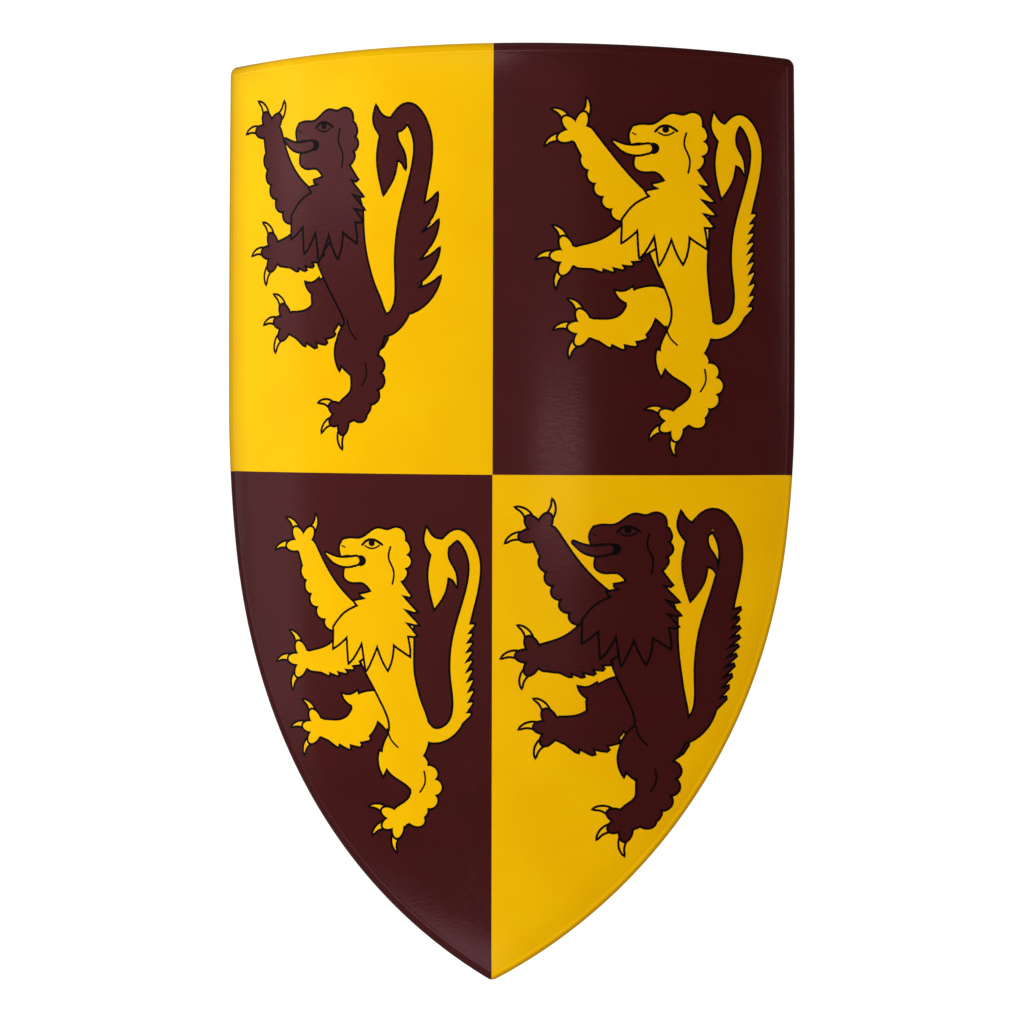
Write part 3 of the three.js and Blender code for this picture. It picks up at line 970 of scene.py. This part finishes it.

# Distance inside the board's edge, for the grime, the painted shade and the wear that keep to the rim.
round_inset = np.full((stations, columns), PAST_EDGE_SHADE)
round_inset[:, :len(section)] = RIM_WIDTH - section[:, 0]
from_edge = np.concatenate([
    depth_inside(face_net), round_inset.reshape(-1), np.full(lining_flat[..., 0].size, PAST_EDGE_SHADE)])
print("faces in each paint and in bare hide:", np.bincount(wears))

# %% [markdown]
# ## Oil paint on hide
# The face is painted in oils over glued and primed hide, and varnished. Oil paint levels out but
# still follows the fine crinkles of the hide, so its gloss breaks into small sparks where light
# glances off it, while its colour stays flat. So the grain is in the relief and the gloss, and the
# colour only drifts a little from place to place, apart from grime and painted shade towards the
# rim. Black, maroon and yellow differ only in their colour and in the tint of their gloss.

# %% Relief of the hide
CRINKLE_LONG = 7.0  # mm, across the shield
CRINKLE_HIGH = 2.2
PORE_SPACING = 1.4  # real pores are finer still and wouldn't show
SWELL = 45.0
CRINKLE_RISE = 0.00004  # metres, as the next two are
PORE_RISE = 0.00001
SWELL_RISE = 0.00009


def hide_relief(tree, place):
    """Height of the hide's grain in metres: drawn-out crinkles, fine pores and a slow swell, added
    up. Returns the height and the crinkles' own noise."""
    drawn = node(tree, "Mapping", {"Vector": place,
                                   "Scale": (1000 / CRINKLE_LONG, 1000 / CRINKLE_HIGH, 1)})
    crinkle = node(tree, "TexNoise", {"Vector": drawn.outputs["Vector"], "Scale": 1.0, "Detail": 1.0,
                                      "Roughness": 0.5, "Distortion": 0.3}).outputs["Fac"]
    pores = node(tree, "TexVoronoi", {"Vector": place, "Scale": 1000 / PORE_SPACING},
                 feature="SMOOTH_F1").outputs["Distance"]
    swell = node(tree, "TexNoise", {"Vector": place, "Scale": 1000 / SWELL,
                                    "Detail": 1.0}).outputs["Fac"]
    height = 0.0
    for layer, rise in ((crinkle, CRINKLE_RISE), (pores, PORE_RISE), (swell, SWELL_RISE)):
        height = node(tree, "Math", {0: layer, 1: rise, 2: height},
                      operation="MULTIPLY_ADD").outputs[0]
    return height, crinkle


print("the hide's relief is at most", round(1000 * (CRINKLE_RISE + PORE_RISE + SWELL_RISE), 2), "mm")


# %% Finishes of the hide
def hide_finish(name, body, drifted, gloss_tint, least, most):
    """The hide in one finish: body is its colour, drifted the one it drifts to in patches,
    gloss_tint the colour that the aged varnish gives its gloss, and least and most its roughness.
    Towards the rim it is darker, from grime and from painted shade where the face and the rim's
    flank turn away from the light, and darker still at the far left edge. It is also duller there."""
    material, tree = new_material(name)
    place = node(tree, "UVMap", uv_map="pattern").outputs["UV"]
    edge = node(tree, "Attribute", attribute_name="from_edge").outputs["Fac"]
    across = node(tree, "SeparateXYZ", {"Vector": place}).outputs["X"]
    height, crinkle = hide_relief(tree, place)
    laid = drifting(tree, place, 70, 2.0, 0.3, 0.75, body, drifted)[0]
    smooth, plain = {"interpolation_type": "SMOOTHSTEP"}, {}
    runs = {}
    for run, value, start, end, at_start, at_end, easing in (
        # The colour darkens towards the rim: grime and painted shade in the border, darkest at the far
        # left edge, and painted shade on the rim's flank, which turns away from the light.
        ("rubbed", across, -0.275, -0.23, 0.4, 0.08, plain),
        ("border", edge, 0.0, 32.0, "rubbed", 0.0, smooth),
        ("flank", edge, 0.3, 5.0, 0.55, 0.0, smooth),
        # The worn rim is duller and mirrors less.
        ("dull", edge, 3.0, 9.0, 0.16, 0.0, plain),
        ("shine", edge, 1.0, 7.5, 0.03, 0.4, plain),
        # The crinkles break the gloss up.
        ("gloss", crinkle, 0.3, 0.7, least, most, plain),
    ):
        runs[run] = node(tree, "MapRange", {
            "Value": value, "From Min": start, "From Max": end,
            "To Min": runs.get(at_start, at_start), "To Max": at_end}, **easing).outputs[0]
    # Grime and painted shade of the border and the flank darken the colour here.
    grime_and_edge_shade = node(tree, "Math", {0: runs["border"], 1: runs["flank"]}, operation="ADD", use_clamp=True)
    shade = node(tree, "Mix", {0: grime_and_edge_shade.outputs[0], 6: laid, 7: colour("#6B6440")},
                 data_type="RGBA", blend_type="MULTIPLY")
    rough = node(tree, "Math", {0: runs["gloss"], 1: runs["dull"]}, operation="ADD")
    bump = node(tree, "Bump", {"Height": height, "Strength": 1.0, "Distance": 1.0})
    surface = node(tree, "BsdfPrincipled", {
        "Base Color": shade.outputs[2], "Roughness": rough.outputs[0], "IOR": 1.5,
        "Specular IOR Level": runs["shine"], "Specular Tint": colour(gloss_tint),
        "Normal": bump.outputs["Normal"]})
    node(tree, "OutputMaterial", {"Surface": surface.outputs["BSDF"]})
    return material


paints = [
    hide_finish("oil_paint_varnished_yellow", "#EDBA04", "#E9B203", "#FFE873", 0.13, 0.2),
    hide_finish("oil_paint_varnished_maroon", "#3B1313", "#401515", "#FFC8D4", 0.13, 0.2),
    hide_finish("oil_paint_varnished_black", "#0B0808", "#110C0C", "#6A6A74", 0.13, 0.2),
    hide_finish("hide_glued_bare", "#9A7852", "#836041", "#FFFFFF", 0.55, 0.7),
]
print("paints:", [paint.name for paint in paints])

# %% The finished cover
cover, first, kept = make_piece("painted_cover", cover_skin, ["shield_board"], paints)
cover.data.polygons.foreach_set("material_index", wears[kept].astype(np.int32))
add_numbers(cover, "from_edge", from_edge[first])

corners = cover_skin[1][kept]
grain_places = pattern[corners]
hidden = np.isnan(grain_places).any(axis=(1, 2))
grain_places[hidden] = flat_places[corners[hidden]]
add_map(cover, "pattern", grain_places * MM)

# A second map lays the visible skin out flat in one sheet, and the hidden lining small in a corner.
SHEET_SIZE = np.array([660.0, 950.0])
LINING_SHRINK = 25
LINING_CORNER = 0.05
sheet_places = grain_places / SHEET_SIZE + 0.5
sheet_places[hidden] = grain_places[hidden] / (LINING_SHRINK * SHEET_SIZE) + LINING_CORNER
add_map(cover, "OFBake", sheet_places)

# The rim's turns over 50 degrees stay sharp, and the painted face takes its exact normals.
cover.data.set_sharp_from_angle(angle=np.radians(50))
normals = np.zeros((len(first), 3))
on_face = first < len(face_net)
normals[on_face] = face_normals(face_net[first[on_face]])
cover.data.normals_split_custom_set_from_vertices(normals)
print("cover:", len(first), "points,", len(cover.data.polygons), "faces")

# %% [markdown]
# ## The wooden board
# Seen from behind, the board is planed wood with its grain running up the shield, oiled brown.

# %% Board
WOOD_GAP = 0.15  # mm of glue between the cover and the wood
wood_front = -COVER_THICKNESS - WOOD_GAP
# Distance outwards from the field's edge and height, from the front to the back.
board_section = np.array([[0.0, wood_front - FACE_FALL], [6.4, -3.8], [6.4, -7.2], [5.4, wood_back],
                          [0.0, wood_back]])
board_flat = field_places[:, None] + field_away[:, None] * board_section[:, :1]
board_rows = rows_across(half_outline(RIM_WIDTH)[0], 61)
board_skin = joined(
    sheet(bend(board_flat, board_section[:, 1])),
    sheet(bend(board_rows, face_over(board_rows) + wood_front)),
    sheet(bend(board_rows, wood_back), flipped=True))


def oiled_wood(name):
    """Planed and oiled wood: growth lines 16 mm apart and 400 mm long, with darker late wood, and
    fine pores 0.9 mm apart and 30 mm long, which darken it and roughen it."""
    material, tree = new_material(name)
    place = node(tree, "TexCoord").outputs["Object"]
    drawn = node(tree, "Mapping", {"Vector": place, "Scale": (1, 16 / 400, 1)})
    grain = drifting(tree, drawn.outputs["Vector"], 16, 5.0, 0.3, 0.7, "#8A5A30", "#5E3A1D", 1.2)[0]
    thin = node(tree, "Mapping", {"Vector": place, "Scale": (1000 / 0.9, 1000 / 30, 1000 / 0.9)})
    pores = node(tree, "TexNoise", {"Vector": thin.outputs["Vector"], "Scale": 1.0,
                                    "Detail": 2.0}).outputs["Fac"]
    dark = node(tree, "MapRange", {"Value": pores, "From Min": 0.35, "From Max": 0.6,
                                   "To Min": 0.72, "To Max": 1.0})
    shade = node(tree, "Mix", {0: 1.0, 6: grain, 7: dark.outputs[0]},
                 data_type="RGBA", blend_type="MULTIPLY")
    bump = node(tree, "Bump", {"Height": pores, "Strength": 1.0, "Distance": 0.00006})
    surface = node(tree, "BsdfPrincipled", {"Base Color": shade.outputs[2], "Roughness": 0.5,
                                            "Normal": bump.outputs["Normal"]})
    node(tree, "OutputMaterial", {"Surface": surface.outputs["BSDF"]})
    return material


wood = oiled_wood("limewood_planed_oiled")
board = make_piece("wooden_board", board_skin, ["shield_board"], [wood])[0]
board.data.set_sharp_from_angle(angle=np.radians(35))
print("board:", len(board.data.polygons), "faces")

# %% [markdown]
# ## Straps
# Each strap is one length of thick leather with round ends. It lies flat on the wood at both ends,
# and between them it stands off in a loop that an arm or a hand goes through.

# %% Shape of a strap
ARM_HEIGHT = 45.0  # v of both straps' middles
STRAP_THICKNESS = 4.0
TAB_LENGTH = 38.0
LOOP_REACH = 0.42  # how far the loop's pulls reach, as a share of its span
GAP = 0.3  # mm between the strap and the turned-over cover's level
EDGE_ROUND = 1.2
TAB_STEPS = 25
LOOP_STEPS = 41
FLAT_STEPS = 13
ROUND_STEPS = 7
STRAPS = {
    "forearm_strap": {"across": 105.0, "width": 48.0, "span": 156.0, "rise": 44.0},
    "hand_grip": {"across": -105.0, "width": 32.0, "span": 122.0, "rise": 38.0},
}


def strap_middle(span, rise):
    """The strap's middle line from the side: a flat tab, a cubic curve up to the middle of the
    loop, and the same mirrored. x runs along it and y away from the wood."""
    reach = LOOP_REACH * span
    tab = TAB_LENGTH * np.cos(np.linspace(0, np.pi / 2, TAB_STEPS)) + span / 2
    t = np.linspace(0, 1, LOOP_STEPS)[1:, None]
    pulls = np.array([[-span / 2, 0], [-reach, 0], [-reach, rise], [0, rise]])
    curve = (pulls[0] * (1 - t)**3 + 3 * pulls[1] * t * (1 - t)**2
             + 3 * pulls[2] * t**2 * (1 - t) + pulls[3] * t**3)
    half = np.concatenate([np.stack([-tab, np.zeros(TAB_STEPS)], axis=1), curve])
    return np.concatenate([half, (half * (-1, 1))[-2::-1]])


def strap_ring():
    """One turn round the strap's section: for each place, the share of the flat width, and the
    direction in the rounded edge. It ends where it starts, so that the skin closes."""
    flat, still = np.linspace(-1, 1, FLAT_STEPS), np.zeros(FLAT_STEPS)
    turn = np.linspace(0, np.pi, ROUND_STEPS)[1:-1]
    side = np.ones(len(turn))
    across = np.concatenate([flat, side, -flat, -side, flat[:1]])
    edge_x = np.concatenate([still, np.sin(turn), still, -np.sin(turn), still[:1]])
    edge_y = np.concatenate([still - 1, -np.cos(turn), still + 1, np.cos(turn), still[:1] - 1])
    return across, edge_x, edge_y


def strap_shape(across, width, span, rise):
    """The strap's skin as rings along its middle line, and which of its places are its edges."""
    middle = strap_middle(span, rise)
    ahead, left = ahead_and_left(middle)
    along_strap = run_along(middle)
    from_end = np.minimum(along_strap, along_strap[-1] - along_strap)
    # The round ends are half circles: the half width is the root of radius and distance squared.
    half = np.sqrt(np.maximum((width / 2)**2 - np.maximum(width / 2 - from_end, 0.0)**2, 0.0))
    share, edge_x, edge_y = strap_ring()
    edge = np.minimum(EDGE_ROUND, half)[:, None]
    aside = share * (half[:, None] - edge) + edge_x * edge
    # The tabs swell down on to the wood, which lies a little behind the rim's turned-over cover.
    seat = (GAP + COVER_THICKNESS) * (1 - middle[:, 1:] / rise) * np.maximum(-edge_y, 0)
    off = edge_y * STRAP_THICKNESS / 2 - seat
    along = middle[:, :1] + left[:, :1] * off
    away = middle[:, 1:] + left[:, 1:] * off + STRAP_THICKNESS / 2 + GAP
    flat = np.stack([across + aside, ARM_HEIGHT + along], axis=-1)
    at_edge = np.broadcast_to(np.abs(share) == 1, aside.shape)
    return bend(flat, -BOARD_THICKNESS - away), at_edge


print("a strap's section has", len(strap_ring()[0]) - 1, "points")


# %% Straps
def waxed_leather(name):
    """Oak-bark tanned leather, waxed: a warm brown that drifts over 22 mm, pores 1.3 mm apart and
    creases 7 mm long in the relief and the gloss, and edges dark from burnishing."""
    material, tree = new_material(name)
    place = node(tree, "TexCoord").outputs["Object"]
    edge = node(tree, "Attribute", attribute_name="edge").outputs["Fac"]
    brown = drifting(tree, place, 22, 5.0, 0.3, 0.7, "#5B331B", "#472512")[0]
    pores = node(tree, "TexVoronoi", {"Vector": place, "Scale": 1000 / 1.3}, feature="SMOOTH_F1")
    creases = node(tree, "TexNoise", {"Vector": place, "Scale": 1000 / 7, "Detail": 6.0,
                                      "Distortion": 1.5}).outputs["Fac"]
    burnt = node(tree, "Mix", {0: edge, 6: brown, 7: colour("#1E0F08")}, data_type="RGBA")
    high = node(tree, "Math", {0: pores.outputs["Distance"], 1: 0.6, 2: creases},
                operation="MULTIPLY_ADD")
    bump = node(tree, "Bump", {"Height": high.outputs[0], "Strength": 1.0, "Distance": 0.0002})
    gloss = node(tree, "MapRange", {"Value": creases, "To Min": 0.42, "To Max": 0.62})
    surface = node(tree, "BsdfPrincipled", {
        "Base Color": burnt.outputs[2], "Roughness": gloss.outputs[0],
        "Normal": bump.outputs["Normal"]})
    node(tree, "OutputMaterial", {"Surface": surface.outputs["BSDF"]})
    return material


leather = waxed_leather("leather_bark_tanned_waxed")
for name, sizes in STRAPS.items():
    rings, at_edge = strap_shape(**sizes)
    strap, first = make_piece(name + "_leather", sheet(rings), [name], [leather])[:2]
    add_numbers(strap, "edge", at_edge.reshape(-1)[first])
    print(name, len(strap.data.polygons), "triangles")

# %% [markdown]
# ## Rivets
# Each tab is held by two rivets with low domed heads.

# %% Rivets
HEAD_RADIUS = 5.0
HEAD_HEIGHT = 2.6
HEAD_RIM = 0.3
HEAD_SUNK = 0.4
RIVET_INSET = 15.0  # from the strap's end


def rivet_head(u, v):
    """A turned profile: flat under the head, a short upright rim, and a quarter of an ellipse."""
    swing = np.linspace(0, np.pi / 2, 10)
    out = np.concatenate([[0.0, HEAD_RADIUS - HEAD_RIM], HEAD_RADIUS * np.cos(swing)])
    high = np.concatenate([[-HEAD_SUNK, -HEAD_SUNK],
                           HEAD_RIM + (HEAD_HEIGHT - HEAD_RIM) * np.sin(swing)])
    turn = np.linspace(0, 2 * np.pi, 33)[:, None]
    flat = np.stack([u + out * np.cos(turn), v + out * np.sin(turn)], axis=-1)
    return bend(flat, -BOARD_THICKNESS - GAP - STRAP_THICKNESS - high)


def forged_steel(name):
    """Steel forged black and rubbed bright where hands touch it, in patches 2.5 mm apart that are
    also proud and dull."""
    material, tree = new_material(name)
    place = node(tree, "TexCoord").outputs["Object"]
    metal, scale = drifting(tree, place, 2.5, 4.0, 0.35, 0.65, "#8F8B86", "#4A4541")
    gloss = node(tree, "MapRange", {"Value": scale, "To Min": 0.28, "To Max": 0.55})
    bump = node(tree, "Bump", {"Height": scale, "Strength": 1.0, "Distance": 0.0002})
    surface = node(tree, "BsdfPrincipled", {
        "Base Color": metal, "Metallic": 1.0, "Roughness": gloss.outputs[0],
        "Normal": bump.outputs["Normal"]})
    node(tree, "OutputMaterial", {"Surface": surface.outputs["BSDF"]})
    return material


steel = forged_steel("steel_forged_rubbed")
for name, sizes in STRAPS.items():
    along = sizes["span"] / 2 + TAB_LENGTH - RIVET_INSET
    aside = sizes["width"] / 4
    spots = [(end * along, side * aside) for end in (-1, 1) for side in (-1, 1)]
    for number, (up, over) in enumerate(spots, start=1):
        head = rivet_head(sizes["across"] + over, ARM_HEIGHT + up)
        make_piece(f"{name}_rivet_head_{number}", sheet(head),
                   [f"{name}_rivet_{number}"], [steel])
    print(name, "is held by", len(spots), "rivets")
